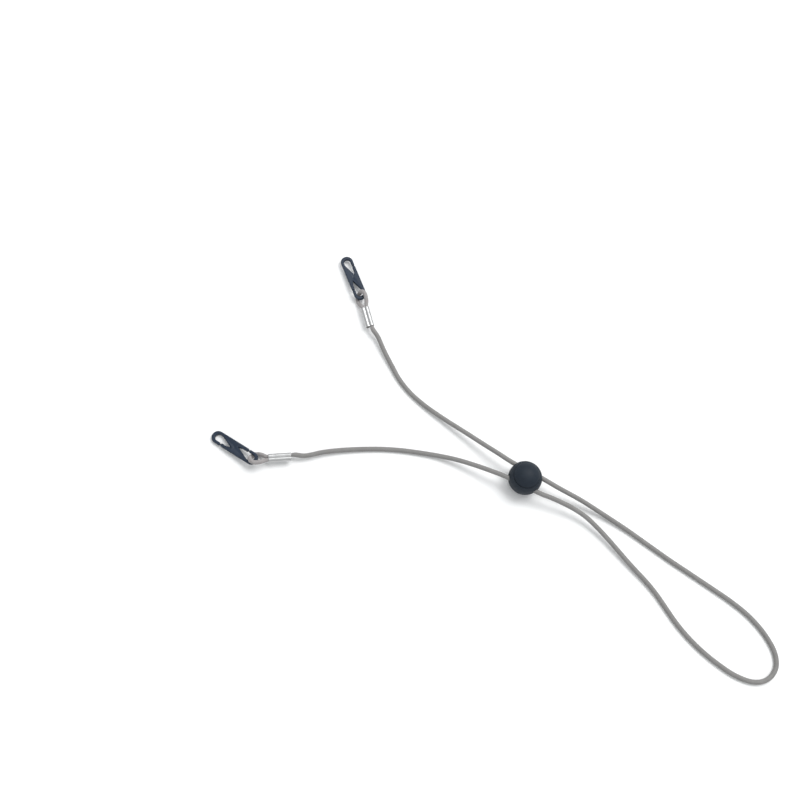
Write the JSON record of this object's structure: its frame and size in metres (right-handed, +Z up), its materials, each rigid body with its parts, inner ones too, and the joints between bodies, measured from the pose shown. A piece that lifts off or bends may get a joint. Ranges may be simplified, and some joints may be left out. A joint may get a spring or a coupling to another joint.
{
  "type": "face mask neck strap",
  "caption": "round elastic neck cord with a flat plastic clip on each end, crimped metal ferrules, and a ball-shaped spring cord lock that slides along both arms",
  "frame": {"origin": "centre of the lock's flat base, on the table", "axes": "+X runs along the strands through the lock towards the neck loop, +Y is the left clip's side, +Z is up"},
  "size_m": [0.315, 0.1347, 0.0172],
  "materials": {
    "cord": "finely braided round elastic, warm mid grey, soft sheen",
    "ferrule": "bright nickel plate",
    "clip": "satin moulded plastic, very dark navy",
    "lock": "fine matte moulded plastic, near black",
    "spring": "drawn steel wire"
  },
  "bodies": {
    "strap": {"cord": "cord", "ferrule_left": "ferrule", "ferrule_right": "ferrule"},
    "lock": {"lock_barrel": "lock", "lock_spring": "spring"},
    "lock_button": {"lock_button": "lock"},
    "clip_left": {"clip_left_body": "clip"},
    "clip_left_mask_gate": {"clip_left_mask_gate": "clip"},
    "clip_left_cord_gate": {"clip_left_cord_gate": "clip"},
    "clip_right": {"clip_right_body": "clip"},
    "clip_right_mask_gate": {"clip_right_mask_gate": "clip"},
    "clip_right_cord_gate": {"clip_right_cord_gate": "clip"}
  },
  "joints": [
    {"name": "lock_slide", "type": "slide", "parent": "strap", "child": "lock", "axis": [1, 0, 0], "range_m": [-0.025, 0.045], "deforming": ["cord"]},
    {"name": "button_press", "type": "slide", "parent": "lock", "child": "lock_button", "axis": [0, 0, -1], "range_m": [0, 0.0024], "stiffness_N_per_m": 1700, "springref_m": -0.003, "deforming": ["lock_spring"]},
    {"name": "clip_left_swing", "type": "hinge", "parent": "strap", "child": "clip_left", "pos_m": [-0.12795, 0.05551, 0.0037], "axis": [-0.0388, 0.0351, 0.9986], "range_deg": [-48, 42]},
    {"name": "clip_right_swing", "type": "hinge", "parent": "strap", "child": "clip_right", "pos_m": [-0.1329, -0.0577, 0.0037], "axis": [-0.1092, 0.0113, 0.994], "range_deg": [-13, 77]},
    {"name": "clip_left_mask_gate_flex", "type": "hinge", "parent": "clip_left", "child": "clip_left_mask_gate", "pos_m": [-0.13525, 0.0656, 0.00306], "axis": [-0.0388, 0.0351, 0.9986], "range_deg": [0, 18], "stiffness_Nm_per_rad": 0.05},
    {"name": "clip_left_cord_gate_flex", "type": "hinge", "parent": "clip_left", "child": "clip_left_cord_gate", "pos_m": [-0.13636, 0.0596, 0.00323], "axis": [-0.0388, 0.0351, 0.9986], "range_deg": [0, 18], "stiffness_Nm_per_rad": 0.05},
    {"name": "clip_right_mask_gate_flex", "type": "hinge", "parent": "clip_right", "child": "clip_right_mask_gate", "pos_m": [-0.14523, -0.05904, 0.00236], "axis": [0.1092, -0.0113, -0.994], "range_deg": [0, 18], "stiffness_Nm_per_rad": 0.05},
    {"name": "clip_right_cord_gate_flex", "type": "hinge", "parent": "clip_right", "child": "clip_right_cord_gate", "pos_m": [-0.14153, -0.0542, 0.00271], "axis": [0.1092, -0.0113, -0.994], "range_deg": [0, 18], "stiffness_Nm_per_rad": 0.05}
  ]
}
